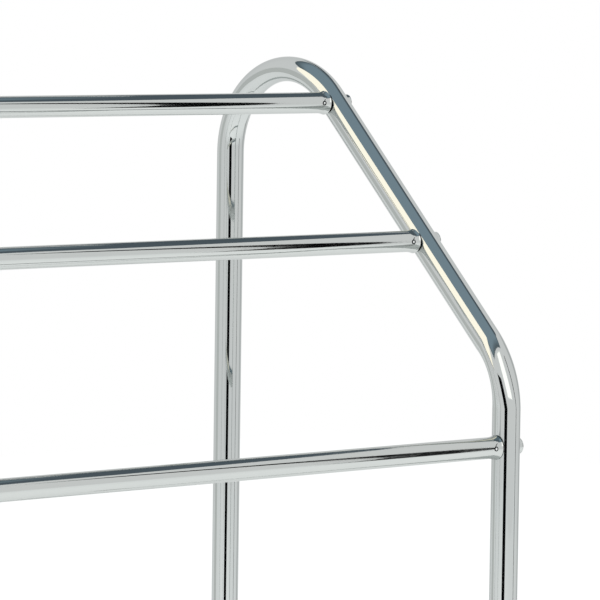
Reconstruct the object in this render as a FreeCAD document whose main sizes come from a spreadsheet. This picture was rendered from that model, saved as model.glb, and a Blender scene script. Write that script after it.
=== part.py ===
"""Free-standing towel stand: two bent-tube side frames joined by four bolted rails, on rubber feet.

Millimetres, +Z up. X runs along the rails and -Y is the front. The origin is on the floor, midway between the
side frames and midway between the front and rear legs.
"""
import FreeCAD, Part
import os

import Sketcher

Vector = FreeCAD.Vector
doc = FreeCAD.newDocument("TowelStand")

# ---------------------------------------------------------------- driving dimensions
DIMENSIONS = {
    "overall_height": 900.0,  # floor to the top of the side frame's bend
    "leg_spacing": 370.0,  # front leg axis to rear leg axis
    "frame_spacing": 675.0,  # side frame plane to side frame plane
    "frame_diameter": 25.0,
    "frame_wall": 1.2,
    "top_bend_radius": 80.0,  # to the tube's axis
    "shoulder_bend_radius": 80.0,  # to the tube's axis
    "slope_angle": 45.0,  # of the sloping tube, from the vertical
    "rail_diameter": 19.0,
    "rail_wall": 1.0,
    "top_rail_setback": 8.0,  # down the slope, from the top bend's end to the top rail's axis
    "middle_rail_step": 169.0,  # down the slope, from the top rail to the middle rail
    "lower_rail_drop": 34.0,  # down the front leg, from the shoulder bend's end to the lower rail
    "stretcher_height": 120.0,  # above the floor
    "flare_length": 9.0,  # over which a rail's end widens
    "flare_rise": 1.3,  # growth of the rail's radius at its end
    "lip_gap": 1.0,  # rail's square end to the frame tube's surface
    "plug_length": 30.0,  # from the frame tube's surface
    "saddle_clearance": 0.2,  # plug's hollowed end to the frame tube
    "plug_clearance": 0.1,  # radial, in the rail's bore
    "thread_diameter": 6.0,
    "thread_clearance": 0.1,  # radial, bolt in plug
    "bolt_hole_clearance": 0.3,  # radial, bolt in frame tube and washer
    "bolt_engagement": 16.0,  # bolt length inside the plug
    "bolt_tip_chamfer": 0.8,
    "head_diameter": 15.0,
    "head_height": 4.0,
    "head_rim": 0.6,  # straight edge under the dome
    "socket_width": 4.0,  # hexagon across flats
    "socket_depth": 2.2,
    "washer_thickness": 1.5,  # at the frame tube's crest
    "washer_clearance": 0.1,  # washer's hollow to the frame tube
    "rivet_diameter": 3.6,
    "rivet_clearance": 0.25,  # radial, in the rail's wall
    "rivet_grip": 0.05,  # radial, in the plug
    "rivet_offset": 8.5,  # rivet's axis behind the frame tube's surface
    "rivet_depth": 4.0,  # into the plug
    "rivet_dome": 0.5,  # proud of the rail
    "foot_wall": 2.2,
    "foot_height": 32.0,
    "foot_sole": 6.0,
    "foot_clearance": 0.1,  # radial, leg in foot
    "foot_edge": 1.5,  # rounding of the sole and the rim
}

# Lengths that follow from the driving ones. Each is an expression of them and of those above it.
DERIVED = {
    "frame_radius": "frame_diameter / 2",
    "frame_bore": "frame_radius - frame_wall",
    "half_span": "frame_spacing / 2",
    "half_depth": "leg_spacing / 2",
    "slope_sin": "sin(slope_angle * 1 deg)",
    "slope_cos": "cos(slope_angle * 1 deg)",
    "top_centre_y": "half_depth - top_bend_radius",
    "top_centre_z": "overall_height - frame_radius - top_bend_radius",
    "shoulder_centre_y": "shoulder_bend_radius - half_depth",
    "bend_difference": "top_bend_radius - shoulder_bend_radius",
    "bends_apart": "top_centre_y - shoulder_centre_y",
    "shoulder_centre_z": "top_centre_z + (bend_difference - slope_cos * bends_apart) / slope_sin",
    "slope_top_y": "top_centre_y - top_bend_radius * slope_cos",
    "slope_top_z": "top_centre_z + top_bend_radius * slope_sin",
    "slope_foot_y": "shoulder_centre_y - shoulder_bend_radius * slope_cos",
    "slope_foot_z": "shoulder_centre_z + shoulder_bend_radius * slope_sin",
    "top_rail_y": "slope_top_y - slope_sin * top_rail_setback",
    "top_rail_z": "slope_top_z - slope_cos * top_rail_setback",
    "middle_rail_y": "top_rail_y - slope_sin * middle_rail_step",
    "middle_rail_z": "top_rail_z - slope_cos * middle_rail_step",
    "lower_rail_z": "shoulder_centre_z - lower_rail_drop",
    "rail_radius": "rail_diameter / 2",
    "rail_bore": "rail_radius - rail_wall",
    "lip_end": "half_span - frame_radius - lip_gap",
    "flare_start": "lip_end - flare_length",
    "flare_radius": "(flare_length ^ 2 + flare_rise ^ 2) / (2 * flare_rise)",
    "lip_radius": "rail_radius + flare_rise",
    "saddle_radius": "frame_radius + saddle_clearance",
    "plug_radius": "rail_bore - plug_clearance",
    "plug_far": "frame_radius + plug_length",
    "rivet_place": "frame_radius + rivet_offset",
    "rivet_radius": "rivet_diameter / 2",
    "rivet_top": "rail_radius + rivet_dome",
    "rivet_foot": "plug_radius - rivet_depth",
    "rivet_dome_radius": "(rivet_radius ^ 2 + rivet_dome ^ 2) / (2 * rivet_dome)",
    "bolt_radius": "thread_diameter / 2",
    "bolt_hole": "bolt_radius + bolt_hole_clearance",
    "bolt_tip": "frame_radius + bolt_engagement",
    "head_base": "frame_radius + washer_thickness",
    "head_top": "head_base + head_height",
    "head_radius": "head_diameter / 2",
    "dome_height": "head_height - head_rim",
    "dome_radius": "(head_radius ^ 2 + dome_height ^ 2) / (2 * dome_height)",
    "socket_side": "socket_width / sqrt(3)",
    "foot_bore": "frame_radius + foot_clearance",
    "foot_radius": "foot_bore + foot_wall",
}

sheet = doc.addObject("Spreadsheet::Sheet", "Sizes")
for row, (alias, value) in enumerate(DIMENSIONS.items(), start=1):
    sheet.set("A%d" % row, alias)
    sheet.set("B%d" % row, repr(value))
    sheet.setAlias("B%d" % row, alias)
derived = doc.addObject("App::VarSet", "Derived")


def spell(text, word_for):
    """The expression with each dimension's name replaced by what word_for gives."""
    out = ""
    word = ""
    for letter in text + " ":
        if letter.isalnum() or letter == "_":
            word += letter
            continue
        known = word in DIMENSIONS or word in DERIVED
        out += (word_for(word) if known else word) + letter
        word = ""
    return out.strip()


def cells(text):
    """The expression as the document's objects bind to it."""
    return spell(text, lambda name: ("Sizes." if name in DIMENSIONS else "Derived.") + name)


def present(name):
    """A dimension's present value, written out."""
    return repr(float(getattr(sheet if name in DIMENSIONS else derived, name)))


def number(text):
    """The expression's present value."""
    return FreeCAD.Units.Quantity(spell(text, present)).Value


doc.recompute()
for name, text in DERIVED.items():
    derived.addProperty("App::PropertyFloat", name)
    derived.setExpression(name, cells(text))
    doc.recompute()


# ---------------------------------------------------------------- bodies, sketches and features
def new_body(name, x="0", y="0", z="0", tilt="0"):
    """A body whose origin lies at (x, y, z), leaned back about X by the angle tilt."""
    body = doc.addObject("PartDesign::Body", name)
    body.Label = name
    body.Placement = FreeCAD.Placement(Vector(), FreeCAD.Rotation(Vector(1, 0, 0), -1))
    for axis, text in zip("xyz", (x, y, z)):
        body.setExpression("Placement.Base." + axis, cells(text))
    body.setExpression("Placement.Rotation.Angle", "-(" + cells(tilt) + ") * 1 deg")
    return body


def origin_item(body, role):
    return [item for item in body.Origin.OriginFeatures if item.Role == role][0]


def new_sketch(body, name, role, height="0", tilt="0"):
    """A sketch on one of the body's own planes, raised along its normal and leaned back about X by tilt."""
    sketch = body.newObject("Sketcher::SketchObject", body.Name + "_" + name)
    sketch.AttachmentSupport = [(origin_item(body, role), "")]
    sketch.MapMode = "FlatFace"
    sketch.AttachmentOffset = FreeCAD.Placement(Vector(), FreeCAD.Rotation(Vector(1, 0, 0), -1))
    sketch.setExpression("AttachmentOffset.Rotation.Angle", "-(" + cells(tilt) + ") * 1 deg")
    sketch.setExpression("AttachmentOffset.Base.z", cells(height))
    return sketch


def bind(sketch, kind, geometry, *rest):
    """Adds a constraint whose size is the expression given last."""
    *ends, text = rest
    index = sketch.addConstraint(Sketcher.Constraint(kind, geometry, *ends, number(text)))
    sketch.setExpression("Constraints[%d]" % index, cells(text))


def pin_point(sketch, geometry, end, x, y):
    """Holds a start (1), end (2) or centre (3) at the expressions x, y."""
    bind(sketch, "DistanceX", geometry, end, x)
    bind(sketch, "DistanceY", geometry, end, y)


def draw_circle(sketch, x, y, radius):
    circle = Part.Circle(Vector(number(x), number(y), 0), Vector(0, 0, 1), number(radius))
    geometry = sketch.addGeometry(circle)
    pin_point(sketch, geometry, 3, x, y)
    bind(sketch, "Radius", geometry, radius)


def draw_path(sketch, corners, closed=True):
    """Lines and arcs through the corners.

    A corner is (x, y), or (x, y, radius, bulge) where an arc leads on to the next corner: the arc bulges to the
    right of the way there where bulge is 1, and to the left where it is -1.
    """
    places = [Vector(number(corner[0]), number(corner[1]), 0) for corner in corners]
    pieces = []
    for index in range(len(corners) if closed else len(corners) - 1):
        corner = corners[index]
        start = places[index]
        end = places[(index + 1) % len(corners)]
        if len(corner) == 2:
            geometry = sketch.addGeometry(Part.LineSegment(start, end))
            ends = (1, 2)
        else:
            radius = number(corner[2])
            chord = end - start
            to_bulge = Vector(chord.y, -chord.x, 0).normalize() * corner[3]
            sagitta = radius - (radius**2 - chord.Length**2 / 4) ** 0.5
            middle = (start + end) * 0.5 + to_bulge * sagitta
            geometry = sketch.addGeometry(Part.Arc(start, middle, end))
            ends = (1, 2) if corner[3] > 0 else (2, 1)
            bind(sketch, "Radius", geometry, corner[2])
        pin_point(sketch, geometry, ends[0], corner[0], corner[1])
        if pieces:
            join(sketch, pieces[-1], (geometry, ends))
        pieces.append((geometry, ends))
    if closed:
        join(sketch, pieces[-1], pieces[0])
    else:
        geometry, ends = pieces[-1]
        pin_point(sketch, geometry, ends[1], corners[-1][0], corners[-1][1])


def join(sketch, before, after):
    """Joins the far end of one piece to the near end of the next."""
    sketch.addConstraint(Sketcher.Constraint("Coincident", before[0], before[1][1], after[0], after[1][0]))


def add_feature(body, kind, name, sketch, **settings):
    feature = body.newObject("PartDesign::" + kind, body.Name + "_" + name)
    feature.Profile = sketch
    for key, setting in settings.items():
        if isinstance(setting, str) and key == "Length":
            feature.setExpression(key, cells(setting))
        else:
            setattr(feature, key, setting)
    return feature


def turn(body, sketch, role):
    """Turns the sketch fully round one of the body's axes."""
    axis = (origin_item(body, role), [""])
    return add_feature(body, "Revolution", "turned", sketch, ReferenceAxis=axis, Angle=360.0)


def cut_through(body, name, sketch):
    """Cuts the sketch through the body on both sides of its plane."""
    return add_feature(body, "Pocket", name, sketch, Type="ThroughAll", Midplane=True)


def on_side(side, text):
    """The expression on the right (side 1), or its opposite on the left (side -1)."""
    return text if side > 0 else "-(" + text + ")"


# ---------------------------------------------------------------- where the rails meet the side frames
# Each rail: its height, its place from front to back, and the lean of the frame tube there.
RAILS = {
    "top_rail": ("top_rail_z", "top_rail_y", "slope_angle"),
    "middle_rail": ("middle_rail_z", "middle_rail_y", "slope_angle"),
    "lower_rail": ("lower_rail_z", "-half_depth", "0"),
    "rear_stretcher": ("stretcher_height", "half_depth", "0"),
}
SIDES = {"left": -1, "right": 1}
LEGS = {"front": "-half_depth", "rear": "half_depth"}


# ---------------------------------------------------------------- side frame
def make_side_frame(name, side):
    """One tube bent into two legs, a shoulder, a slope and a top bend, drilled through at each rail."""
    body = new_body(name, x=on_side(side, "half_span"))
    path = new_sketch(body, "path", "YZ_Plane")
    draw_path(
        path,
        [
            ("-half_depth", "foot_sole"),
            ("-half_depth", "shoulder_centre_z", "shoulder_bend_radius", -1),
            ("slope_foot_y", "slope_foot_z"),
            ("slope_top_y", "slope_top_z", "top_bend_radius", -1),
            ("half_depth", "top_centre_z"),
            ("half_depth", "foot_sole"),
        ],
        closed=False,
    )
    ring = new_sketch(body, "section", "XY_Plane", height="foot_sole")
    draw_circle(ring, "0", "-half_depth", "frame_radius")
    draw_circle(ring, "0", "-half_depth", "frame_bore")
    doc.recompute()
    tube = add_feature(body, "AdditivePipe", "tube", ring)
    tube.Spine = (path, ["Edge%d" % (piece + 1) for piece in range(path.GeometryCount)])
    doc.recompute()
    holes = new_sketch(body, "bolt_holes", "YZ_Plane")
    for height, place, lean in RAILS.values():
        draw_circle(holes, place, height, "bolt_hole")
    cut_through(body, "drilled", holes)
    return body


# ---------------------------------------------------------------- rail
def make_rail(name):
    """A tube whose ends widen and are cut square, with a rivet hole at the front of each end."""
    height, place, lean = RAILS[name]
    body = new_body(name, y=place, z=height)
    section = new_sketch(body, "section", "XZ_Plane")
    lip_bore = "lip_radius - rail_wall"
    draw_path(
        section,
        [
            ("-lip_end", lip_bore),
            ("-flare_start", "rail_bore"),
            ("flare_start", "rail_bore"),
            ("lip_end", lip_bore),
            ("lip_end", "lip_radius", "flare_radius", -1),
            ("flare_start", "rail_radius"),
            ("-flare_start", "rail_radius", "flare_radius", -1),
            ("-lip_end", "lip_radius"),
        ],
    )
    turn(body, section, "X_Axis")
    holes = new_sketch(body, "rivet_holes", "XZ_Plane")
    for side in SIDES.values():
        draw_circle(holes, on_side(side, "half_span - rivet_place"), "0", "rivet_radius + rivet_clearance")
    doc.recompute()
    before = body.Shape.Volume
    add_feature(body, "Pocket", "drilled", holes, Length="lip_radius", Reversed=True)
    doc.recompute()
    print(name, "rivet holes take", round(before - body.Shape.Volume, 1), "mm3")
    return body


# ---------------------------------------------------------------- what holds a rail's end
def make_plug(name, rail, side):
    """The threaded plug in a rail's end, hollowed to sit against the frame tube, with a blind rivet hole."""
    height, place, lean = RAILS[rail]
    body = new_body(name, x=on_side(side, "half_span"), y=place, z=height)
    section = new_sketch(body, "section", "XZ_Plane")
    far = on_side(side, "-plug_far")
    bore = "bolt_radius + thread_clearance"
    draw_path(section, [("0", bore), (far, bore), (far, "plug_radius"), ("0", "plug_radius")])
    turn(body, section, "X_Axis")
    saddle = new_sketch(body, "saddle", "XY_Plane", tilt=lean)
    draw_circle(saddle, "0", "0", "saddle_radius")
    cut_through(body, "hollowed", saddle)
    hole = new_sketch(body, "rivet_hole", "XZ_Plane", height="rivet_foot - rivet_grip")
    draw_circle(hole, on_side(side, "-rivet_place"), "0", "rivet_radius + rivet_grip")
    doc.recompute()
    before = body.Shape.Volume
    add_feature(body, "Pocket", "drilled", hole, Length="plug_radius", Reversed=True)
    doc.recompute()
    print(name, "rivet hole takes", round(before - body.Shape.Volume, 1), "mm3")
    return body


def make_rivet(name, rail, side):
    """The short rivet that holds the plug in the rail, its domed end showing at the front."""
    height, place, lean = RAILS[rail]
    body = new_body(name, x=on_side(side, "half_span - rivet_place"), y=place, z=height)
    section = new_sketch(body, "section", "XY_Plane")
    draw_path(
        section,
        [
            ("0", "-rivet_foot"),
            ("0", "-rivet_top", "rivet_dome_radius", 1),
            ("rivet_radius", "-rail_radius"),
            ("rivet_radius", "-rivet_foot"),
        ],
    )
    turn(body, section, "Y_Axis")
    return body


def make_washer(name, rail, side):
    """The hollowed washer that seats a bolt's flat head on the round frame tube."""
    height, place, lean = RAILS[rail]
    body = new_body(name, x=on_side(side, "half_span"), y=place, z=height, tilt=lean)
    disc = new_sketch(body, "disc", "YZ_Plane")
    draw_circle(disc, "0", "0", "head_radius")
    draw_circle(disc, "0", "0", "bolt_hole")
    add_feature(body, "Pad", "disc_pad", disc, Length="head_base", Reversed=side < 0)
    seat = new_sketch(body, "seat", "XY_Plane")
    draw_circle(seat, "0", "0", "frame_radius + washer_clearance")
    cut_through(body, "hollowed", seat)
    return body


def make_bolt(name, rail, side):
    """A dome-headed bolt with a hexagon socket, from the outside through the frame tube into the plug."""
    height, place, lean = RAILS[rail]
    body = new_body(name, x=on_side(side, "half_span"), y=place, z=height)
    section = new_sketch(body, "section", "XZ_Plane")
    draw_path(
        section,
        [
            (on_side(side, "-bolt_tip"), "0"),
            (on_side(side, "-bolt_tip"), "bolt_radius - bolt_tip_chamfer"),
            (on_side(side, "-bolt_tip + bolt_tip_chamfer"), "bolt_radius"),
            (on_side(side, "head_base"), "bolt_radius"),
            (on_side(side, "head_base"), "head_radius"),
            (on_side(side, "head_base + head_rim"), "head_radius", "dome_radius", -side),
            (on_side(side, "head_top"), "0"),
        ],
    )
    turn(body, section, "X_Axis")
    socket = new_sketch(body, "socket", "YZ_Plane", height=on_side(side, "head_top - socket_depth"))
    draw_path(
        socket,
        [
            ("socket_width / 2", "-socket_side / 2"),
            ("socket_width / 2", "socket_side / 2"),
            ("0", "socket_side"),
            ("-socket_width / 2", "socket_side / 2"),
            ("-socket_width / 2", "-socket_side / 2"),
            ("0", "-socket_side"),
        ],
    )
    doc.recompute()
    before = body.Shape.Volume
    add_feature(body, "Pocket", "socket_cut", socket, Length="head_height", Reversed=side > 0)
    doc.recompute()
    print(name, "socket takes", round(before - body.Shape.Volume, 1), "mm3")
    return body


# ---------------------------------------------------------------- foot
def make_foot(name, side, place):
    """A rubber cup over the end of a leg, with a thick sole."""
    body = new_body(name, x=on_side(side, "half_span"), y=place)
    section = new_sketch(body, "section", "XZ_Plane")
    draw_path(
        section,
        [
            ("0", "0"),
            ("foot_radius - foot_edge", "0", "foot_edge", 1),
            ("foot_radius", "foot_edge"),
            ("foot_radius", "foot_height - foot_edge", "foot_edge", 1),
            ("foot_radius - foot_edge", "foot_height"),
            ("foot_bore", "foot_height"),
            ("foot_bore", "foot_sole"),
            ("0", "foot_sole"),
        ],
    )
    turn(body, section, "Z_Axis")
    return body


# ---------------------------------------------------------------- the whole stand
parts = []
for side_name, side in SIDES.items():
    parts.append(make_side_frame("side_frame_" + side_name, side))
    for leg, place in LEGS.items():
        parts.append(make_foot("foot_%s_%s" % (leg, side_name), side, place))
for rail in RAILS:
    parts.append(make_rail(rail))
    for side_name, side in SIDES.items():
        end = "%s_%s" % (rail, side_name)
        parts.append(make_plug(end + "_plug", rail, side))
        parts.append(make_rivet(end + "_rivet", rail, side))
        parts.append(make_washer(end + "_washer", rail, side))
        parts.append(make_bolt(end + "_bolt", rail, side))
doc.recompute()

for item in doc.Objects:
    if "Invalid" in item.State or "Error" in item.State:
        raise RuntimeError("%s failed: %s" % (item.Name, item.State))
os.makedirs("parts", exist_ok=True)
for body in parts:
    shape = body.Shape
    if shape.isNull() or not shape.isValid() or len(shape.Solids) != 1:
        raise RuntimeError("%s is not one valid solid" % body.Label)
    shape.exportStep("parts/%s.step" % body.Label)
    box = shape.optimalBoundingBox(False)
    corners = (box.XMin, box.YMin, box.ZMin, box.XMax, box.YMax, box.ZMax)
    print(body.Label, "%.0f mm3" % shape.Volume, " ".join("%.1f" % value for value in corners))
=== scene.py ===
# %% [markdown]
# # A free-standing towel stand in polished chrome
#
# The stand is made of steel tube, bent, polished and plated with chromium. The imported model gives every
# piece its place and size. This lesson dresses it: it builds smooth skins for the tubes, the bolts and the
# feet, gives each a finish made from nodes, and sets up a small studio, because chrome is only as good as
# what it reflects.

import math

import bmesh
import bpy
from mathutils import Matrix, Vector


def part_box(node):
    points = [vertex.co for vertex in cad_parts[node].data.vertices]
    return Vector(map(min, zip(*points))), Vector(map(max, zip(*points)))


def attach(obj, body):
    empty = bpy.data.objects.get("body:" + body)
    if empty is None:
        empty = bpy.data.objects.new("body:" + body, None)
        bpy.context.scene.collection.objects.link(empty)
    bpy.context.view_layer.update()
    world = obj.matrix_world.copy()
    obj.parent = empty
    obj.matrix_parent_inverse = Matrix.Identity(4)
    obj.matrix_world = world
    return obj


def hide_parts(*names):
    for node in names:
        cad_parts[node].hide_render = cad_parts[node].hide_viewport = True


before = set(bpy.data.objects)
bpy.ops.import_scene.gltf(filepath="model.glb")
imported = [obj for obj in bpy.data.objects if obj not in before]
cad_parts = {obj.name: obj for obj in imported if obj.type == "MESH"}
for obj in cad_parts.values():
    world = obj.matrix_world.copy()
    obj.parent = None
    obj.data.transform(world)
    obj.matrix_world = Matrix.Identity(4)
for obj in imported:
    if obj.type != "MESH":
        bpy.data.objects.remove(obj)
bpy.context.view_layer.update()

# %% [markdown]
# ## Sizes that the frame gives
#
# A maker would measure the tubes with calipers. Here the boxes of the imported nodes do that, so the skins
# follow the model. What a box can't tell, such as the bends, the walls and the gaps, is written again as
# numbers.

# %% Measure the tubes and the rails
RAILS = ("top_rail", "middle_rail", "lower_rail", "rear_stretcher")
SIDES = {"left": -1, "right": 1}
TOP_BEND = 0.080  # bend radii, to the tube's axis
SHOULDER_BEND = 0.080
SLOPE = math.radians(45)  # of the sloping tube, from the vertical

low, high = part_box("side_frame_right")
FRAME_RADIUS = (high.x - low.x) / 2
FRAME_PLANE = (high.x + low.x) / 2
LEG_Y = high.y - FRAME_RADIUS
FRAME_TOP = high.z
TUBE_FOOT = low.z


def rail_place(rail):
    """Where a rail's axis lies: (y, z), and how far the frame tube leans there."""
    corner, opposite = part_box(rail)
    middle = (corner + opposite) / 2
    lean = SLOPE if abs(middle.y) < LEG_Y - FRAME_RADIUS else 0.0
    return middle.y, middle.z, lean


def plug_radius(rail):
    corner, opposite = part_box(rail + "_left_plug")
    return (opposite.z - corner.z) / 2


PLUG_GAP = 0.0001
RAIL_WALL = 0.001
RAIL_RADIUS = plug_radius("lower_rail") + PLUG_GAP + RAIL_WALL
print("frame tube", round(FRAME_RADIUS * 2000, 1), "mm, rail", round(RAIL_RADIUS * 2000, 1), "mm")
for rail in RAILS:
    print(rail, "at", [round(value, 4) for value in rail_place(rail)])

# %% [markdown]
# ## Two small helpers
#
# Colours are picked as sRGB hex values, the way a paint card gives them, but a renderer counts in linear
# light, so one function converts them. The second helper adds a node to any tree, with its settings and its
# links in one line, which keeps every material short enough to read as a recipe.

# %% Helpers for colours and nodes
def linear(hex_colour, alpha=1.0):
    """An sRGB hex colour as linear red, green, blue and alpha."""
    channels = []
    for place in (1, 3, 5):
        value = int(hex_colour[place : place + 2], 16) / 255
        channels.append(value / 12.92 if value <= 0.04045 else ((value + 0.055) / 1.055) ** 2.4)
    return (*channels, alpha)


def add(tree, kind, inputs=None, **settings):
    """Adds a node. An input that is another node's socket is linked, and any other value is set."""
    node = tree.nodes.new(kind)
    for key, value in settings.items():
        setattr(node, key, value)
    for key, value in (inputs or {}).items():
        if isinstance(value, bpy.types.NodeSocket):
            tree.links.new(value, node.inputs[key])
        else:
            node.inputs[key].default_value = value
    return node


print("middle grey in linear light:", round(linear("#808080")[0], 3))

# %% [markdown]
# ## Polished chrome plate
#
# Decorative chromium is a film under a thousandth of a millimetre thick, over bright nickel. It gives the
# eye a mirror that reflects a little over half of the light and is slightly cool. It isn't perfect:
# polishing leaves a faint waviness, and a hand leaves a film that dulls it in soft patches. So the base is
# a metal with a very low roughness, and two patterns of real size disturb it slightly.

# %% Chrome materials
MM = 0.001


def per_metre(millimetres):
    """A texture's scale for features of this size."""
    return 1 / (millimetres * MM)


def new_material(name):
    material = bpy.data.materials.new(name)
    material.use_nodes = True
    material.node_tree.nodes.clear()
    return material, material.node_tree


EDGE_TINT = "#E3E4E4"  # chromium grows no brighter until the very edge of a tube
FILM_TINT = "#C3C6C4"
TOUCH_MM = 60  # size of the dull patches that a hand leaves
WAVE_STRENGTH = 0.018
WAVE_DEPTH = 0.4 * MM


def chrome(name, colour, roughness, film, wave_mm):
    """Chrome plate over polished steel: film is how much a hand's touch dulls it."""
    material, tree = new_material(name)
    place = add(tree, "ShaderNodeTexCoord").outputs["Object"]
    touch = add(
        tree,
        "ShaderNodeTexNoise",
        {"Vector": place, "Scale": per_metre(TOUCH_MM), "Detail": 4.0, "Roughness": 0.6},
    )
    dull = add(
        tree,
        "ShaderNodeMapRange",
        {
            "Value": touch.outputs["Fac"],
            "From Min": 0.45,
            "From Max": 0.75,
            "To Min": roughness,
            "To Max": roughness + film,
        },
    )
    tint = add(
        tree,
        "ShaderNodeMix",
        {"Factor": touch.outputs["Fac"], 6: linear(colour), 7: linear(FILM_TINT)},
        data_type="RGBA",
    )
    wave = add(tree, "ShaderNodeTexNoise", {"Vector": place, "Scale": per_metre(wave_mm), "Detail": 1.0})
    bump = add(
        tree,
        "ShaderNodeBump",
        {"Height": wave.outputs["Fac"], "Strength": WAVE_STRENGTH, "Distance": WAVE_DEPTH},
    )
    plate = add(
        tree,
        "ShaderNodeBsdfPrincipled",
        {
            "Base Color": tint.outputs[2],
            "Metallic": 1.0,
            "Roughness": dull.outputs["Result"],
            "Specular Tint": linear(EDGE_TINT),
            "Normal": bump.outputs["Normal"],
        },
    )
    add(tree, "ShaderNodeOutputMaterial", {"Surface": plate.outputs["BSDF"]})
    return material


FRAME_CHROME = chrome("chrome_plate_on_bent_tube", "#BEC3C3", roughness=0.035, film=0.05, wave_mm=14)
RAIL_CHROME = chrome("chrome_plate_on_straight_tube", "#BFC3C2", roughness=0.035, film=0.06, wave_mm=18)
BOLT_CHROME = chrome("chrome_plate_on_bolt_heads", "#BCC0C0", roughness=0.06, film=0.06, wave_mm=4)
print("chrome materials:", FRAME_CHROME.name, RAIL_CHROME.name, BOLT_CHROME.name)

# %% [markdown]
# ## Moulded rubber
#
# The feet are moulded in dark rubber: matt, never quite black, with a fine grain from the mould and dust
# that gathers near the floor. A picture wrapped round a foot would show its seam, so the grain is a noise
# and the dust follows the height.

# %% Rubber
DUST_HEIGHT = 12 * MM  # above it the rubber is clean
DUST_ON_FLOOR = 0.35


def rubber(name):
    material, tree = new_material(name)
    place = add(tree, "ShaderNodeTexCoord").outputs["Object"]
    grain = add(tree, "ShaderNodeTexNoise", {"Vector": place, "Scale": per_metre(0.8), "Detail": 3.0})
    height = add(tree, "ShaderNodeSeparateXYZ", {"Vector": place})
    dust = add(
        tree,
        "ShaderNodeMapRange",
        {
            "Value": height.outputs["Z"],
            "From Min": 0.0,
            "From Max": DUST_HEIGHT,
            "To Min": DUST_ON_FLOOR,
            "To Max": 0.0,
        },
    )
    colour = add(
        tree,
        "ShaderNodeMix",
        {"Factor": dust.outputs["Result"], 6: linear("#2B2B2D"), 7: linear("#5A5855")},
        data_type="RGBA",
    )
    bump = add(
        tree,
        "ShaderNodeBump",
        {"Height": grain.outputs["Fac"], "Strength": 0.35, "Distance": 0.1 * MM},
    )
    body = add(
        tree,
        "ShaderNodeBsdfPrincipled",
        {"Base Color": colour.outputs[2], "Roughness": 0.62, "Normal": bump.outputs["Normal"]},
    )
    add(tree, "ShaderNodeOutputMaterial", {"Surface": body.outputs["BSDF"]})
    return material


FOOT_RUBBER = rubber("moulded_dark_rubber")
print("rubber:", FOOT_RUBBER.name)

# %% [markdown]
# ## Black nylon
#
# The plugs in the rails' ends are moulded in black nylon, and a thin crescent of each shows between rail and
# frame. It has a close, slightly shiny skin. So little of it shows that a dark body with a faint grain is
# enough.

# %% Nylon
def nylon(name):
    material, tree = new_material(name)
    place = add(tree, "ShaderNodeTexCoord").outputs["Object"]
    grain = add(tree, "ShaderNodeTexNoise", {"Vector": place, "Scale": per_metre(0.5), "Detail": 2.0})
    shade = add(
        tree,
        "ShaderNodeMix",
        {"Factor": grain.outputs["Fac"], 6: linear("#0C0C0D"), 7: linear("#19191B")},
        data_type="RGBA",
    )
    bump = add(
        tree,
        "ShaderNodeBump",
        {"Height": grain.outputs["Fac"], "Strength": 0.2, "Distance": 0.05 * MM},
    )
    body = add(
        tree,
        "ShaderNodeBsdfPrincipled",
        {"Base Color": shade.outputs[2], "Roughness": 0.42, "IOR": 1.53, "Normal": bump.outputs["Normal"]},
    )
    add(tree, "ShaderNodeOutputMaterial", {"Surface": body.outputs["BSDF"]})
    return material


PLUG_NYLON = nylon("moulded_black_nylon")
print("nylon:", PLUG_NYLON.name)

# %% [markdown]
# ## Satin rivets
#
# The rivets are plated and brushed, which leaves fine lines across them. Only the dome in the middle is
# polished clean. The groove round it is darkened with painted shade, which stands in for the shade that
# falls into it. Paint on the head could show that, but a number on each point of the mesh, its distance
# from the rivet's axis, tells the finish exactly where the groove is.

# %% Satin metal
# Painted shade: out from the polished dome, the rivet's groove is coloured dark and made rough, in place of
# the shade that falls into it.
SHADE_RING_START = 1.15 * MM  # from a rivet's axis, where the polished dome ends
SHADE_RING_FULL = 1.35 * MM
PAINTED_SHADE_COLOUR = "#232426"
SHADE_RING_ROUGHNESS = 0.6
LINE_MM = 1.885  # real brushed lines are finer, but they wouldn't show
WAVES_AT_SCALE_1 = 20 / (2 * math.pi)  # per metre, as the wave texture counts


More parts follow.
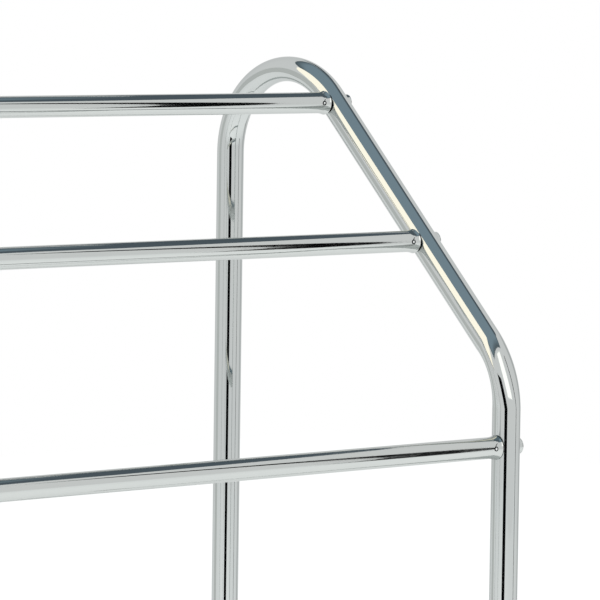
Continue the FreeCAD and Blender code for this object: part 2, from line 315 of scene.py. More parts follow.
def satin_metal(name, colour, line_mm, roughness):
    """Plated metal with fine brushed lines, and painted shade that darkens and roughens the groove."""
    material, tree = new_material(name)
    place = add(tree, "ShaderNodeTexCoord").outputs["Object"]
    lines = add(
        tree,
        "ShaderNodeTexWave",
        {"Vector": place, "Scale": per_metre(line_mm) / WAVES_AT_SCALE_1, "Distortion": 0.4, "Detail": 2.0},
        wave_type="BANDS",
        bands_direction="X",
    )
    tint = add(
        tree,
        "ShaderNodeMix",
        {"Factor": lines.outputs["Fac"], 6: linear(colour), 7: linear("#D2D4D4")},
        data_type="RGBA",
    )
    from_axis = add(tree, "ShaderNodeAttribute", attribute_name="from_axis")
    # Painted shade: from this distance from the axis, the colour turns dark and the roughness rises over the
    # groove.
    shade_ring = add(
        tree,
        "ShaderNodeMapRange",
        {"Value": from_axis.outputs["Fac"], "From Min": SHADE_RING_START, "From Max": SHADE_RING_FULL},
    )
    shaded_tint = add(
        tree,
        "ShaderNodeMix",
        {"Factor": shade_ring.outputs["Result"], 6: tint.outputs[2], 7: linear(PAINTED_SHADE_COLOUR)},
        data_type="RGBA",
    )
    rough = add(
        tree,
        "ShaderNodeMapRange",
        {"Value": shade_ring.outputs["Result"], "To Min": roughness, "To Max": SHADE_RING_ROUGHNESS},
    )
    bump = add(
        tree,
        "ShaderNodeBump",
        {"Height": lines.outputs["Fac"], "Strength": 0.2, "Distance": 0.05 * MM},
    )
    body = add(
        tree,
        "ShaderNodeBsdfPrincipled",
        {
            "Base Color": shaded_tint.outputs[2],
            "Metallic": 1.0,
            "Roughness": rough.outputs["Result"],
            "Normal": bump.outputs["Normal"],
        },
    )
    add(tree, "ShaderNodeOutputMaterial", {"Surface": body.outputs["BSDF"]})
    return material


RIVET_METAL = satin_metal("satin_plated_rivet", "#CFD2D2", LINE_MM, roughness=0.18)
print("satin metal:", RIVET_METAL.name)

# %% [markdown]
# ## The bent side frames
#
# Each side frame is one tube that follows a path: up the front leg, round the shoulder, along the slope,
# over the top and down the rear leg. When a bender forms a tube, the outer wall stretches and the section
# flattens in the plane of the bend. The photograph shows that clearly at the top bend. A curve with a bevel
# can't do that, so a Geometry Nodes tree sweeps a circle along the path and then squeezes it where the path
# bends.

# %% The path of the tube
TOP_STEPS = 54
SHOULDER_STEPS = 26
STRAIGHT_STEPS = 12


def along_line(start, end, steps):
    return [(start.lerp(end, step / steps), 0.0, 0.0) for step in range(steps)]


def along_arc(centre, radius, start, end, steps, kind):
    """Points of an arc, with how far into the bend each one is: 0 at its ends and 1 at its middle."""
    points = []
    for step in range(steps):
        share = step / steps
        angle = start + (end - start) * share
        squeeze = math.sin(math.pi * share)
        point = centre + Vector((-math.cos(angle), math.sin(angle))) * radius
        points.append((point, squeeze if kind == "top" else 0.0, squeeze if kind == "shoulder" else 0.0))
    return points


def frame_path():
    """The tube's axis in its own plane, as ((y, z), squeeze at the top bend, squeeze at the shoulder)."""
    top_centre = Vector((LEG_Y - TOP_BEND, FRAME_TOP - FRAME_RADIUS - TOP_BEND))
    shoulder_y = SHOULDER_BEND - LEG_Y
    drop = (TOP_BEND - SHOULDER_BEND - math.cos(SLOPE) * (top_centre.x - shoulder_y)) / math.sin(SLOPE)
    shoulder_centre = Vector((shoulder_y, top_centre.y + drop))
    outward = Vector((-math.cos(SLOPE), math.sin(SLOPE)))
    slope_foot = shoulder_centre + outward * SHOULDER_BEND
    slope_top = top_centre + outward * TOP_BEND
    points = along_line(Vector((-LEG_Y, TUBE_FOOT)), Vector((-LEG_Y, shoulder_centre.y)), STRAIGHT_STEPS)
    points += along_arc(shoulder_centre, SHOULDER_BEND, 0, SLOPE, SHOULDER_STEPS, "shoulder")
    points += along_line(slope_foot, slope_top, STRAIGHT_STEPS)
    points += along_arc(top_centre, TOP_BEND, SLOPE, math.pi, TOP_STEPS, "top")
    points += along_line(Vector((LEG_Y, top_centre.y)), Vector((LEG_Y, TUBE_FOOT)), STRAIGHT_STEPS)
    points.append((Vector((LEG_Y, TUBE_FOOT)), 0.0, 0.0))
    return points


print("path of a side frame:", len(frame_path()), "points")

# %% [markdown]
# The tree below reads the path, sweeps a circle along it and moves each point of the skin. It splits the
# way from the axis to the skin in two: the part that lies in the frame's plane shrinks, and the part across
# it grows by half as much, which keeps the tube's girth. The amounts are inputs with plain names.

# %% A tree that sweeps and squeezes a tube
def new_tree(name, sockets):
    """A Geometry Nodes tree with named inputs, given as {name: (kind of socket, default)}."""
    tree = bpy.data.node_groups.new(name, "GeometryNodeTree")
    tree.interface.new_socket("Geometry", in_out="INPUT", socket_type="NodeSocketGeometry")
    for label, (kind, default) in sockets.items():
        socket = tree.interface.new_socket(label, in_out="INPUT", socket_type=kind)
        if default is not None:
            socket.default_value = default
    tree.interface.new_socket("Geometry", in_out="OUTPUT", socket_type="NodeSocketGeometry")
    return tree, add(tree, "NodeGroupInput")


def tube_tree():
    tree, given = new_tree(
        "squeezed_tube",
        {
            "Outer radius": ("NodeSocketFloat", 0.0125),
            "Segments": ("NodeSocketInt", 96),
            "Top bend squeeze": ("NodeSocketFloat", 0.0),
            "Shoulder squeeze": ("NodeSocketFloat", 0.0),
            "Finish": ("NodeSocketMaterial", None),
        },
    )
    axis = add(tree, "GeometryNodeMeshToCurve", {"Mesh": given.outputs["Geometry"]})
    here = add(tree, "GeometryNodeInputPosition")
    kept = add(
        tree,
        "GeometryNodeStoreNamedAttribute",
        {0: axis.outputs["Curve"], "Name": "axis", 3: here.outputs[0]},
        data_type="FLOAT_VECTOR",
    )
    ring = add(
        tree,
        "GeometryNodeCurvePrimitiveCircle",
        {"Resolution": given.outputs["Segments"], "Radius": given.outputs["Outer radius"]},
    )
    skin = add(
        tree,
        "GeometryNodeCurveToMesh",
        {"Curve": kept.outputs[0], "Profile Curve": ring.outputs["Curve"], "Fill Caps": True},
    )
    top = add(tree, "GeometryNodeInputNamedAttribute", {"Name": "top_bend"}, data_type="FLOAT")
    shoulder = add(tree, "GeometryNodeInputNamedAttribute", {"Name": "shoulder_bend"}, data_type="FLOAT")
    top_amount = add(
        tree,
        "ShaderNodeMath",
        {0: top.outputs[0], 1: given.outputs["Top bend squeeze"]},
        operation="MULTIPLY",
    )
    amount = add(
        tree,
        "ShaderNodeMath",
        {0: shoulder.outputs[0], 1: given.outputs["Shoulder squeeze"], 2: top_amount.outputs[0]},
        operation="MULTIPLY_ADD",
    )
    axis_here = add(tree, "GeometryNodeInputNamedAttribute", {"Name": "axis"}, data_type="FLOAT_VECTOR")
    away = add(
        tree,
        "ShaderNodeVectorMath",
        {0: here.outputs[0], 1: axis_here.outputs[0]},
        operation="SUBTRACT",
    )
    parts = add(tree, "ShaderNodeSeparateXYZ", {0: away.outputs[0]})
    across = add(tree, "ShaderNodeMath", {0: amount.outputs[0], 1: 0.5}, operation="MULTIPLY")
    grow = add(tree, "ShaderNodeMath", {0: parts.outputs["X"], 1: across.outputs[0]}, operation="MULTIPLY")
    less = add(tree, "ShaderNodeMath", {0: amount.outputs[0], 1: -1.0}, operation="MULTIPLY")
    less_y = add(tree, "ShaderNodeMath", {0: parts.outputs["Y"], 1: less.outputs[0]}, operation="MULTIPLY")
    less_z = add(tree, "ShaderNodeMath", {0: parts.outputs["Z"], 1: less.outputs[0]}, operation="MULTIPLY")
    shift = add(
        tree,
        "ShaderNodeCombineXYZ",
        {"X": grow.outputs[0], "Y": less_y.outputs[0], "Z": less_z.outputs[0]},
    )
    moved = add(tree, "GeometryNodeSetPosition", {"Geometry": skin.outputs[0], "Offset": shift.outputs[0]})
    real = add(tree, "GeometryNodeRealizeInstances", {"Geometry": moved.outputs[0]})
    dressed = add(
        tree,
        "GeometryNodeSetMaterial",
        {"Geometry": real.outputs[0], "Material": given.outputs["Finish"]},
    )
    add(tree, "NodeGroupOutput", {"Geometry": dressed.outputs[0]})
    return tree


def grown(name, mesh, tree, values):
    """Runs a tree on a mesh and returns the result as a plain piece, with no modifier left on it."""
    seed = bpy.data.objects.new(name + "_seed", mesh)
    bpy.context.scene.collection.objects.link(seed)
    modifier = seed.modifiers.new("grow", "NODES")
    modifier.node_group = tree
    for item in tree.interface.items_tree:
        if item.in_out == "INPUT" and item.name in values:
            modifier[item.identifier] = values[item.name]
    bpy.context.view_layer.update()
    result = bpy.data.meshes.new_from_object(seed.evaluated_get(bpy.context.evaluated_depsgraph_get()))
    bpy.data.objects.remove(seed)
    for stale in ("axis", "top_bend", "shoulder_bend"):
        if stale in result.attributes:
            result.attributes.remove(result.attributes[stale])
    return new_piece(name, result)


def new_piece(name, mesh):
    mesh.name = name
    piece = bpy.data.objects.new(name, mesh)
    bpy.context.scene.collection.objects.link(piece)
    return piece


def smooth(piece, degrees):
    """Shades a piece smooth, apart from edges sharper than the given angle."""
    piece.data.shade_smooth()
    piece.data.set_sharp_from_angle(angle=math.radians(degrees))


SQUEEZED_TUBE = tube_tree()
print("tree of the squeezed tube:", len(SQUEEZED_TUBE.nodes), "nodes")

# %% [markdown]
# The path is a chain of edges. Two numbers ride along on its points and say how deep in a bend each one is,
# so the squeeze fades in and out, as a real bend's does.

# %% Make the side frames
TOP_SQUEEZE = 0.10  # measured in the photograph, at the middle of the bend
SHOULDER_SQUEEZE = 0.19


def make_side_frame(side_name, side):
    path = frame_path()
    mesh = bpy.data.meshes.new("path")
    points = [(side * FRAME_PLANE, point.x, point.y) for point, _, _ in path]
    mesh.from_pydata(points, [(index, index + 1) for index in range(len(points) - 1)], [])
    for column, label in ((1, "top_bend"), (2, "shoulder_bend")):
        layer = mesh.attributes.new(label, "FLOAT", "POINT")
        for index, entry in enumerate(path):
            layer.data[index].value = entry[column]
    piece = grown(
        "side_frame_%s_tube" % side_name,
        mesh,
        SQUEEZED_TUBE,
        {
            "Outer radius": FRAME_RADIUS,
            "Top bend squeeze": TOP_SQUEEZE,
            "Shoulder squeeze": SHOULDER_SQUEEZE,
            "Finish": FRAME_CHROME,
        },
    )
    smooth(piece, 40)
    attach(piece, "root")
    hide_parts("side_frame_" + side_name)
    return piece


for side_name, side in SIDES.items():
    tube = make_side_frame(side_name, side)
    print(tube.name, len(tube.data.polygons), "faces")

# %% [markdown]
# ## The rails
#
# A rail is a straight tube whose ends widen slightly and are cut square, just short of the frame tubes. A
# cylinder could be scaled at its ends, but a profile turned round the axis also gives the lips and the bore.
# So the first helper is a lathe, which the small parts will need as well. The second cuts one mesh from
# another.

# %% A turned solid, and a cutter
ON_AXIS = 1e-7  # a radius below this is a point on the axis


def lathe(name, profile, segments, axis="X"):
    """Turns a closed profile of (along, radius) points round an axis through the origin."""
    mesh = bpy.data.meshes.new(name)
    shape = bmesh.new()
    turns = {"X": lambda a, y, z: (a, y, z), "Z": lambda a, y, z: (y, z, a)}
    rows = []
    for along, radius in profile:
        if radius < ON_AXIS:
            rows.append([shape.verts.new(turns[axis](along, 0, 0))] * segments)
            continue
        row = []
        for step in range(segments):
            angle = 2 * math.pi * step / segments
            across = (radius * math.cos(angle), radius * math.sin(angle))
            row.append(shape.verts.new(turns[axis](along, *across)))
        rows.append(row)
    for index in range(len(rows)):
        first = rows[index]
        second = rows[(index + 1) % len(rows)]
        for step in range(segments):
            after = (step + 1) % segments
            corners = []
            for corner in (first[step], first[after], second[after], second[step]):
                if corner not in corners:
                    corners.append(corner)
            if len(corners) > 2:
                shape.faces.new(corners)
    bmesh.ops.recalc_face_normals(shape, faces=shape.faces)
    shape.to_mesh(mesh)
    shape.free()
    return mesh


def cut_away(mesh, cutters):
    """The mesh after each cutter mesh has been taken from it."""
    body = bpy.data.objects.new("cut_body", mesh)
    bpy.context.scene.collection.objects.link(body)
    tools = []
    for cutter in cutters:
        tool = bpy.data.objects.new("cutter", cutter)
        bpy.context.scene.collection.objects.link(tool)
        tools.append(tool)
        modifier = body.modifiers.new("cut", "BOOLEAN")
        modifier.operation = "DIFFERENCE"
        modifier.solver = "EXACT"
        modifier.object = tool
    bpy.context.view_layer.update()
    result = bpy.data.meshes.new_from_object(body.evaluated_get(bpy.context.evaluated_depsgraph_get()))
    for extra in (body, *tools):
        bpy.data.objects.remove(extra)
    return result


# %% [markdown]
# A cone pressed into a tube's end widens it and leaves a rounded lip. Here the radius grows with the square
# of the way along the last few millimetres, so no crease shows where the widening starts. One closed profile
# holds skin, lip and bore, so the wall has its thickness where the eye can look at the end. The rivets fill
# their holes, so the skin is left whole there: a cut would spoil the long, even reflections of the chrome.

# %% Make the rails
FLARE_LENGTH = 9 * MM
FLARE_RISE = 1.3 * MM
LIP_ROUND = 0.25 * MM
RIVET_PLACE = 8.5 * MM  # behind the frame tube's surface
FLARE_STEPS = 10
LIP_STEPS = 3
RAIL_SEGMENTS = 128
RAIL_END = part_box("lower_rail")[1].x


def rail_profile():
    """The rail's section, closed: out along the skin and back along the bore."""
    skin = []
    for step in range(FLARE_STEPS + 1):
        share = step / FLARE_STEPS
        along = RAIL_END - FLARE_LENGTH * (1 - share)
        if step == FLARE_STEPS:
            along -= LIP_ROUND
        skin.append((along, RAIL_RADIUS + FLARE_RISE * share * share))
    lip = RAIL_RADIUS + FLARE_RISE
    for step in range(1, LIP_STEPS + 1):
        angle = math.pi / 2 * step / LIP_STEPS
        skin.append((RAIL_END - LIP_ROUND * (1 - math.sin(angle)), lip - LIP_ROUND * (1 - math.cos(angle))))
    bore = [(RAIL_END, lip - RAIL_WALL), (RAIL_END - FLARE_LENGTH, RAIL_RADIUS - RAIL_WALL)]
    right = skin + bore
    left = [(-along, radius) for along, radius in reversed(right)]
    return right + left


def make_rail(rail):
    y, z, _ = rail_place(rail)
    mesh = lathe(rail, rail_profile(), RAIL_SEGMENTS)
    mesh.transform(Matrix.Translation((0, y, z)))
    mesh.materials.append(RAIL_CHROME)
    piece = new_piece(rail + "_tube", mesh)
    smooth(piece, 30)
    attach(piece, "root")
    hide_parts(rail)
    return piece


for rail in RAILS:
    piece = make_rail(rail)
    reach = max(vertex.co.x for vertex in piece.data.vertices)
    print(piece.name, len(piece.data.polygons), "faces, ends at x =", round(reach, 4))

# %% [markdown]
# ## Bolts, washers and rivets
#
# The same dome-headed bolt, hollowed washer and short rivet hold all the rail ends. One of each is
# modelled, and a Geometry Nodes tree puts copies of it where the ends are. Each point of the tree's input
# carries its own turn, so that the heads face outwards on both sides and the washers lean with the sloping
# tube.

# %% A tree that puts copies on points
def placing_tree():
    tree, given = new_tree(
        "copies_on_points",
        {"Copied": ("NodeSocketObject", None), "Finish": ("NodeSocketMaterial", None)},
    )
    model = add(tree, "GeometryNodeObjectInfo", {"Object": given.outputs["Copied"]})
    turn = add(tree, "GeometryNodeInputNamedAttribute", {"Name": "turn"}, data_type="FLOAT_VECTOR")
    copies = add(
        tree,
        "GeometryNodeInstanceOnPoints",
        {
            "Points": given.outputs["Geometry"],
            "Instance": model.outputs["Geometry"],
            "Rotation": turn.outputs[0],
        },
    )
    real = add(tree, "GeometryNodeRealizeInstances", {"Geometry": copies.outputs[0]})
    dressed = add(
        tree,
        "GeometryNodeSetMaterial",
        {"Geometry": real.outputs[0], "Material": given.outputs["Finish"]},
    )
    add(tree, "NodeGroupOutput", {"Geometry": dressed.outputs[0]})
    return tree


COPIES = placing_tree()
print("tree of the copies:", len(COPIES.nodes), "nodes")


def place_copies(name, model, places, finish, nodes, sharp_degrees):
    """Copies a model mesh to each (point, turn), as one piece that stands for the given nodes."""
    original = bpy.data.objects.new(name + "_model", model)
    bpy.context.scene.collection.objects.link(original)
    mesh = bpy.data.meshes.new("points")
    mesh.from_pydata([point for point, _ in places], [], [])
    layer = mesh.attributes.new("turn", "FLOAT_VECTOR", "POINT")
    for index, (_, turn) in enumerate(places):
        layer.data[index].vector = turn
    piece = grown(name, mesh, COPIES, {"Copied": original, "Finish": finish})
    bpy.data.objects.remove(original)
    smooth(piece, sharp_degrees)
    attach(piece, "root")
    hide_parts(*nodes)
    print(name, len(places), "copies,", len(piece.data.polygons), "faces")
    return piece


# %% [markdown]
# The bolt has a low dome with a hexagon socket for a key. The washer is flat under the dome and hollowed on
# its other side, so that a flat head can sit on a round tube. The rivet's head has a raised rim, a groove
# and a small dome. All three are round about their own axes, so the lathe makes them. The socket and the
# hollow aren't round about that axis, so they are cut away.

# %% The three models
HEAD_RADIUS = 7.5 * MM
HEAD_HEIGHT = 4.0 * MM
HEAD_RIM = 0.6 * MM
WASHER_THICKNESS = 1.5 * MM
WASHER_GAP = 0.1 * MM
BOLT_RADIUS = 3.0 * MM
BOLT_HOLE = 3.3 * MM
BOLT_REACH = 28.5 * MM
SOCKET_SIDE = 4.0 * MM / math.sqrt(3)
SOCKET_DEPTH = 2.2 * MM
BOLT_CHAMFER = 0.8 * MM
HEAD_EDGE = 0.15 * MM  # the broken edge under the dome
WASHER_EDGE = 0.2 * MM
CUTTER_REACH = 20 * MM
RIVET_RADIUS = 1.8 * MM
RIVET_DOME = 0.5 * MM
RIVET_LENGTH = 4.6 * MM
RIVET_HEAD = 2.1 * MM
RIVET_CENTRE = 1.3 * MM  # the polished dome, inside the groove
RIVET_FLOOR = 0.15 * MM  # the groove's floor, above the rail's skin
RIVET_RIM = 0.35 * MM  # the head's rim, above the skin
RIVET_HEAD_DEPTH = 1.0 * MM
RIVET_BEVEL = 0.2 * MM
RIVET_DOME_BASE = 0.1 * MM  # above the groove's floor


def dome(base, radius, height, steps):
    """Points of a dome from its rim to its top, as (along, radius)."""
    sphere = (radius**2 + height**2) / (2 * height)
    reach = math.asin(min(radius / sphere, 1.0))
    points = []
    for step in range(steps + 1):
        angle = reach * (1 - step / steps)
        points.append((base + height - sphere + sphere * math.cos(angle), sphere * math.sin(angle)))
    points[-1] = (points[-1][0], 0.0)
    return points


def bolt_model():
    base = FRAME_RADIUS + WASHER_THICKNESS
    profile = [(-BOLT_REACH, 0), (-BOLT_REACH, BOLT_RADIUS - BOLT_CHAMFER)]
    profile += [(-BOLT_REACH + BOLT_CHAMFER, BOLT_RADIUS)]
    profile += [(base, BOLT_RADIUS), (base, HEAD_RADIUS - HEAD_EDGE), (base + HEAD_EDGE, HEAD_RADIUS)]
    profile += dome(base + HEAD_RIM, HEAD_RADIUS, HEAD_HEIGHT - HEAD_RIM, steps=14)
    floor = base + HEAD_HEIGHT - SOCKET_DEPTH
    above = base + HEAD_HEIGHT + MM
    key = lathe("key", [(floor, 0), (floor, SOCKET_SIDE), (above, SOCKET_SIDE), (above, 0)], segments=6)
    return cut_away(lathe("bolt", profile, segments=64), [key])


def washer_model():
    top = FRAME_RADIUS + WASHER_THICKNESS
    profile = [(0, BOLT_HOLE), (0, HEAD_RADIUS), (top - WASHER_EDGE, HEAD_RADIUS)]
    profile += [(top, HEAD_RADIUS - WASHER_EDGE), (top, BOLT_HOLE)]
    radius = FRAME_RADIUS + WASHER_GAP
    outline = [(-CUTTER_REACH, 0), (-CUTTER_REACH, radius), (CUTTER_REACH, radius), (CUTTER_REACH, 0)]
    seat = lathe("seat", outline, segments=160, axis="Z")
    return cut_away(lathe("washer", profile, segments=64), [seat])


def rivet_model():
    """A rivet, whose points carry their distance from its axis for the finish to read."""
    rim = RIVET_LENGTH + RIVET_RIM
    groove = RIVET_LENGTH + RIVET_FLOOR
    under = rim - RIVET_HEAD_DEPTH
    profile = [(0, 0), (0, RIVET_RADIUS), (under, RIVET_RADIUS), (under, RIVET_HEAD), (rim, RIVET_HEAD)]
    profile += [(rim, RIVET_HEAD - RIVET_BEVEL), (groove, RIVET_CENTRE + RIVET_BEVEL), (groove, RIVET_CENTRE)]
    profile += dome(groove + RIVET_DOME_BASE, RIVET_CENTRE, RIVET_DOME, steps=6)
    mesh = lathe("rivet", profile, segments=32)
    layer = mesh.attributes.new("from_axis", "FLOAT", "POINT")
    for vertex in mesh.vertices:
        layer.data[vertex.index].value = math.hypot(vertex.co.y, vertex.co.z)
    return mesh


# %% [markdown]
# Each copy needs a place and a turn, both worked out from the rail that it belongs to. The bolts point
# straight outwards, the washers also lean with the tube that they sit on, and the rivets face the front.

# %% Place them at every rail end
def ends():
    """Every rail end, as (rail, side's name, side, y, z, lean)."""
    found = []
    for rail in RAILS:
        y, z, lean = rail_place(rail)
        for side_name, side in SIDES.items():
            found.append((rail, side_name, side, y, z, lean))
    return found


def nodes_at_ends(kind):
    return ["%s_%s_%s" % (rail, side_name, kind) for rail, side_name, *_ in ends()]


def facing_out(side):
    """The turn that makes a piece built along +X face outwards."""
    return 0.0 if side > 0 else math.pi


bolt_places = [((side * FRAME_PLANE, y, z), (0, 0, facing_out(side))) for _, _, side, y, z, _ in ends()]
washer_places = [
    ((side * FRAME_PLANE, y, z), (-lean if side > 0 else lean, 0, facing_out(side)))
    for _, _, side, y, z, lean in ends()
]
rivet_start = RAIL_RADIUS - RIVET_LENGTH
rivet_places = [
    ((side * (FRAME_PLANE - FRAME_RADIUS - RIVET_PLACE), y - rivet_start, z), (0, 0, -math.pi / 2))
    for _, _, side, y, z, _ in ends()
]
bolt_nodes = nodes_at_ends("bolt")
washer_nodes = nodes_at_ends("washer")
rivet_nodes = nodes_at_ends("rivet")
place_copies("dome_bolts", bolt_model(), bolt_places, BOLT_CHROME, bolt_nodes, 35)
place_copies("saddle_washers", washer_model(), washer_places, BOLT_CHROME, washer_nodes, 35)
place_copies("end_rivets", rivet_model(), rivet_places, RIVET_METAL, rivet_nodes, 50)

# %% [markdown]
# ## Rubber feet
#
# Each leg stands in a rubber cup. The part of the sole that meets the floor is slightly wider than the cup
# and has rounded edges, and three shallow ribs help a hand to pull the foot on. A turned profile makes one,
# and the same tree copies it under the four legs.

# %% Make the feet
foot_low, foot_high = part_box("foot_front_right")
FOOT_RADIUS = (foot_high.x - foot_low.x) / 2
FOOT_HEIGHT = foot_high.z
FOOT_WAIST = 0.5 * MM  # how far the cup is drawn in above the sole
FOOT_EDGE = 1.5 * MM
RIB_DEPTH = 0.35 * MM
RIB_PITCH = 3.2 * MM
RIBS = 3
RIB_START = 11 * MM
RIB_SHARE = 0.7  # of the pitch
RIB_STEPS = 6
SOLE_TOP = 6.0 * MM
WAIST_START = 7.2 * MM
RIM_ROUND = 1 * MM
LEG_GAP = 0.1 * MM


def corner_arc(height, radius, edge, start, end, steps=5):
    """A rounded corner about (height, radius), as (height, radius) points."""
    points = []
    for step in range(steps + 1):
        angle = start + (end - start) * step / steps
        points.append((height + edge * math.sin(angle), radius + edge * math.cos(angle)))
    return points


def foot_model():
    wall = FOOT_RADIUS - FOOT_WAIST
    profile = [(0, 0)]
    profile += corner_arc(FOOT_EDGE, FOOT_RADIUS - FOOT_EDGE, FOOT_EDGE, -math.pi / 2, 0)
    profile += [(SOLE_TOP, FOOT_RADIUS), (WAIST_START, wall)]
    for rib in range(RIBS):
        base = RIB_START + rib * RIB_PITCH
        for step in range(RIB_STEPS + 1):
            share = step / RIB_STEPS
            height = base + RIB_PITCH * RIB_SHARE * share
            profile.append((height, wall - RIB_DEPTH * math.sin(math.pi * share)))
    profile += corner_arc(FOOT_HEIGHT - RIM_ROUND, wall - RIM_ROUND, RIM_ROUND, 0, math.pi / 2)
    bore = FRAME_RADIUS + LEG_GAP
    profile += [(FOOT_HEIGHT, bore), (TUBE_FOOT, bore), (TUBE_FOOT, 0)]
    return lathe("foot", profile, segments=72, axis="Z")


foot_places = []
foot_nodes = []
for side_name, side in SIDES.items():
    for leg, y in (("front", -LEG_Y), ("rear", LEG_Y)):
        foot_places.append(((side * FRAME_PLANE, y, 0), (0, 0, 0)))
        foot_nodes.append("foot_%s_%s" % (leg, side_name))
place_copies("rubber_feet", foot_model(), foot_places, FOOT_RUBBER, foot_nodes, 40)

# %% [markdown]
# ## The plugs stay as they are
#
# The plugs sit in the rails' ends, and only their hollowed faces show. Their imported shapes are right, so
# they only get their finish.

# %% Dress the plugs
for node in nodes_at_ends("plug"):
    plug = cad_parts[node]
    plug.data.materials.clear()
    plug.data.materials.append(PLUG_NYLON)
print("dressed", len(nodes_at_ends("plug")), "plugs")

# %% [markdown]
# ## The floor
#
# A plain pale floor carries the stand's shadow. It has to look nearly white without throwing a strong light
# on the stand from below. So it has two faces: rays that light things meet plain matt paint, and rays that
# the eye follows, straight or in a mirror, meet paint with a glow added.

# %% The floor
FLOOR_HALF = 4.0
SEEN_DIRECTLY = ("Is Camera Ray", "Is Glossy Ray", "Is Transmission Ray")


def seen(tree):
    """1 for rays that show a surface to the eye, straight or in a mirror, and 0 for rays that light."""
    path = add(tree, "ShaderNodeLightPath")
    result = path.outputs[SEEN_DIRECTLY[0]]
    for kind in SEEN_DIRECTLY[1:]:
        either = {0: result, 1: path.outputs[kind]}
        result = add(tree, "ShaderNodeMath", either, operation="MAXIMUM").outputs[0]
    return result


def make_floor():
    mesh = bpy.data.meshes.new("floor")
    half = FLOOR_HALF
    corners = [(-half, -half, 0), (half, -half, 0), (half, half, 0), (-half, half, 0)]
    mesh.from_pydata(corners, [], [(0, 1, 2, 3)])
    material, tree = new_material("pale_studio_floor")
    plain = add(tree, "ShaderNodeBsdfDiffuse", {"Color": linear("#E9E8E5")})
    glow = add(tree, "ShaderNodeEmission", {"Color": linear("#FFFFFF"), "Strength": 0.44})
    shown_plain = add(tree, "ShaderNodeBsdfDiffuse", {"Color": linear("#E7E7E5")})
    both = add(tree, "ShaderNodeAddShader", {0: glow.outputs[0], 1: shown_plain.outputs[0]})
    chosen = add(tree, "ShaderNodeMixShader", {"Fac": seen(tree), 1: plain.outputs[0], 2: both.outputs[0]})
    add(tree, "ShaderNodeOutputMaterial", {"Surface": chosen.outputs[0]})
    mesh.materials.append(material)
    floor = new_piece("studio_floor", mesh)
    return floor


floor = make_floor()
print(floor.name, 2 * FLOOR_HALF, "m wide")

# %% [markdown]
# ## The room and the lamps
#
# A white surround lights the stand softly from all sides, and two large lamps give it a slight direction.
# The world is split like the floor: dimmer as a light than to the eye. The lamps can't be seen in the
# chrome, because a lamp's bright square on every tube would give the studio away.

# %% World and lamps
def make_world():
    world = bpy.data.worlds.new("white_studio")
    bpy.context.scene.world = world
    world.use_nodes = True
    tree = world.node_tree
    tree.nodes.clear()
    lighting = add(tree, "ShaderNodeBackground", {"Color": linear("#F4F6F8"), "Strength": 0.8})
    shown = add(tree, "ShaderNodeBackground", {"Color": linear("#FFFFFF"), "Strength": 1.0})
    chosen = add(
        tree,
        "ShaderNodeMixShader",
        {"Fac": seen(tree), 1: lighting.outputs[0], 2: shown.outputs[0]},
    )
    add(tree, "ShaderNodeOutputWorld", {"Surface": chosen.outputs[0]})


def make_lamp(name, place, aim, size, power):
    lamp = bpy.data.lights.new(name, "AREA")
    lamp.size = size
    lamp.energy = power
    item = bpy.data.objects.new(name, lamp)
    item.location = place
    item.rotation_euler = (Vector(aim) - Vector(place)).to_track_quat("-Z", "Y").to_euler()
    item.visible_glossy = False
    bpy.context.scene.collection.objects.link(item)


make_world()
make_lamp("soft_key", (-1.6, -1.8, 2.6), (0, 0, 0.4), size=1.6, power=30)
make_lamp("soft_fill", (2.0, -0.6, 1.8), (0, 0, 0.4), size=1.4, power=10)

# %% [markdown]
# ## What the chrome sees
#
# In a white room chrome would vanish, so dark and pale sheets hang where only the metal sees them. Each is a
# glowing rectangle that only mirror-like reflections meet. Lamps could be shaped like that too, but a sheet
# can also be darker than the room, and that is what draws a line on chrome.
#
# - Overhead, a slate sheet that darkens towards its rim gives the cool bands on the slope and the rails,
#   and a darker one beside it gives their dark streaks.
# - On the left, a cream sheet with a dark hem gives the warm stripe with its fine dark edge.
# - In front, a white sheet gives the bright streak on the shoulder.
# - Beside the camera, a black sheet and, further right, a black pole draw the dark lines down each leg.
# - At the right and behind, faint grey sheets keep the edges of the tubes from melting into the background.

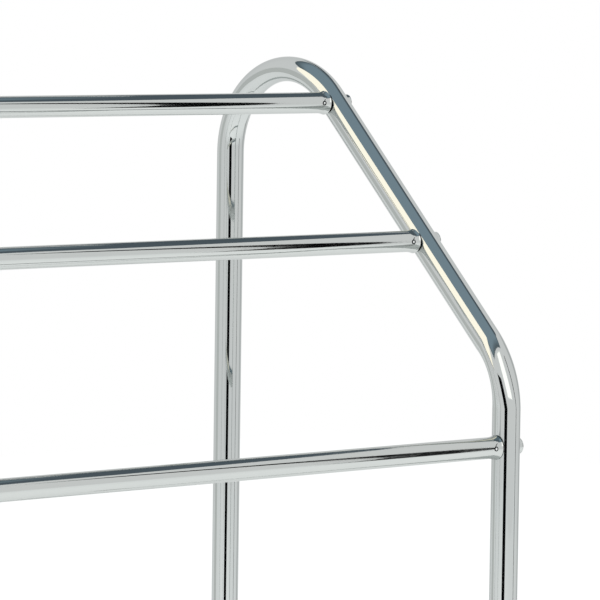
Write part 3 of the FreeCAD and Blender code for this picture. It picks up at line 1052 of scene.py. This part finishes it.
# %% Sheets that only the metal sees
def make_sheet(name, centre, across, up, colour, strength=1.0, rim_colour=None, rim=0.0):
    """A glowing sheet spanned by two half-sides. A rim colour fades in over its outer metres."""
    centre, across, up = Vector(centre), Vector(across), Vector(up)
    mesh = bpy.data.meshes.new(name)
    corners = [centre - across - up, centre + across - up, centre + across + up, centre - across + up]
    mesh.from_pydata([tuple(corner) for corner in corners], [], [(0, 1, 2, 3)])
    uv = mesh.uv_layers.new(name="sheet")
    for loop, (u, v) in enumerate(((-1, -1), (1, -1), (1, 1), (-1, 1))):
        uv.data[loop].uv = (u * across.length, v * up.length)
    material, tree = new_material(name + "_paper")
    emission = add(tree, "ShaderNodeEmission", {"Color": linear(colour), "Strength": strength})
    if rim_colour:
        place = add(tree, "ShaderNodeUVMap", uv_map="sheet")
        parts = add(tree, "ShaderNodeSeparateXYZ", {0: place.outputs[0]})
        inside = []
        for axis, half in (("X", across.length), ("Y", up.length)):
            off = add(tree, "ShaderNodeMath", {0: parts.outputs[axis]}, operation="ABSOLUTE")
            left = add(tree, "ShaderNodeMath", {0: half, 1: off.outputs[0]}, operation="SUBTRACT")
            inside.append(left.outputs[0])
        nearest = add(tree, "ShaderNodeMath", {0: inside[0], 1: inside[1]}, operation="MINIMUM")
        middle = add(
            tree,
            "ShaderNodeMapRange",
            {"Value": nearest.outputs[0], "From Min": 0.0, "From Max": rim},
            interpolation_type="SMOOTHSTEP",
        )
        mix = add(
            tree,
            "ShaderNodeMix",
            {"Factor": middle.outputs[0], 6: linear(rim_colour), 7: linear(colour)},
            data_type="RGBA",
        )
        tree.links.new(mix.outputs[2], emission.inputs["Color"])
    add(tree, "ShaderNodeOutputMaterial", {"Surface": emission.outputs[0]})
    mesh.materials.append(material)
    sheet = new_piece(name, mesh)
    sheet.visible_camera = False
    sheet.visible_diffuse = False
    sheet.visible_shadow = False
    sheet.visible_transmission = False
    print(name, round(2 * across.length, 2), "x", round(2 * up.length, 2), "m")
    return sheet


def turned(length, degrees):
    """A level half-side of this length, turned this far about the vertical."""
    return Vector((length * math.cos(math.radians(degrees)), length * math.sin(math.radians(degrees)), 0))


CEILING = 2.5
make_sheet(
    "slate_sheet_overhead",
    (-0.125, -0.275, CEILING),
    (1.675, 0, 0),
    (0, 1.475, 0),
    "#92A7B4",
    rim_colour="#67747B",
    rim=0.5,
)
dark_middle = (1.72, 0.30, CEILING - 0.05)
make_sheet("dark_sheet_overhead", dark_middle, turned(0.28, -14), turned(1.40, 76), "#616D76")

leaning = Vector((0.516, -0.119, 0.848))  # upwards along the cream sheet, which leans over the stand
cream_middle = Vector((-1.157, 0.343, 1.754))
make_sheet("cream_sheet_left", cream_middle, turned(0.88, -103), leaning * 0.585, "#FFF6E4", strength=1.85)
make_sheet("dark_hem_left", cream_middle - leaning * 0.61, turned(0.88, -103), leaning * 0.025, "#2C2B29")

make_sheet("white_sheet_front", (0.33, -2.2, 1.9), (0.55, 0, 0), (0, 0, 0.85), "#FFFDF9", strength=1.9)
make_sheet("black_sheet_camera", (-1.25, -1.64, 0.77), turned(0.45, -40), (0, 0, 0.77), "#08090A")
make_sheet("black_pole_right", (1.836, -1.874, 1.15), turned(0.077, 45), (0, 0, 1.15), "#101112")
make_sheet("grey_sheet_right", (2.0, 0.0, 0.7), (0, 0.30, 0), (0, 0, 0.7), "#DCDDDD")
make_sheet("grey_sheet_back", (-1.0, 1.75, 0.6), turned(0.5, 38), (0, 0, 0.6), "#E2E4E2")

# %% [markdown]
# ## The camera
#
# The photograph is the right-hand part of a wider picture, taken from the front left. Matching the outlines
# of the tubes gives the place it was taken from. There the picture's middle lay far to the left, which
# draws the tubes about a tenth wider across than upright. A shift of the lens could copy that, but it would
# have to be over two picture widths, and the stand would be lost from every other view. So the camera
# stands in the photograph's direction, where it sees the same faces and much the same reflections, and
# turns to face the stand. Its place balances the slopes of the rails against the places of the joints, and
# neither matches exactly.

# %% Place the camera
CAMERA_PLACE = (-2.4448, -2.9608, 0.9808)
YAW = math.radians(42.405)  # to the right of straight ahead
PITCH = math.radians(-4.235)
ROLL = math.radians(0.8)
FOCAL_PIXELS = 4492.0  # in an image 600 pixels wide
SENSOR = 36.0
IMAGE_WIDTH = 600

lens = bpy.data.cameras.new("photo_camera")
lens.sensor_width = SENSOR
lens.lens = FOCAL_PIXELS * SENSOR / IMAGE_WIDTH
lens.clip_end = 100.0
lens.dof.use_dof = False
camera = bpy.data.objects.new("photo_camera", lens)
camera.matrix_world = (
    Matrix.Translation(CAMERA_PLACE)
    @ Matrix.Rotation(-YAW, 4, "Z")
    @ Matrix.Rotation(math.pi / 2 + PITCH, 4, "X")
    @ Matrix.Rotation(ROLL, 4, "Z")
)
bpy.context.scene.collection.objects.link(camera)
bpy.context.scene.camera = camera
bpy.context.scene.view_settings.view_transform = "Standard"
print("camera lens", round(lens.lens), "mm")
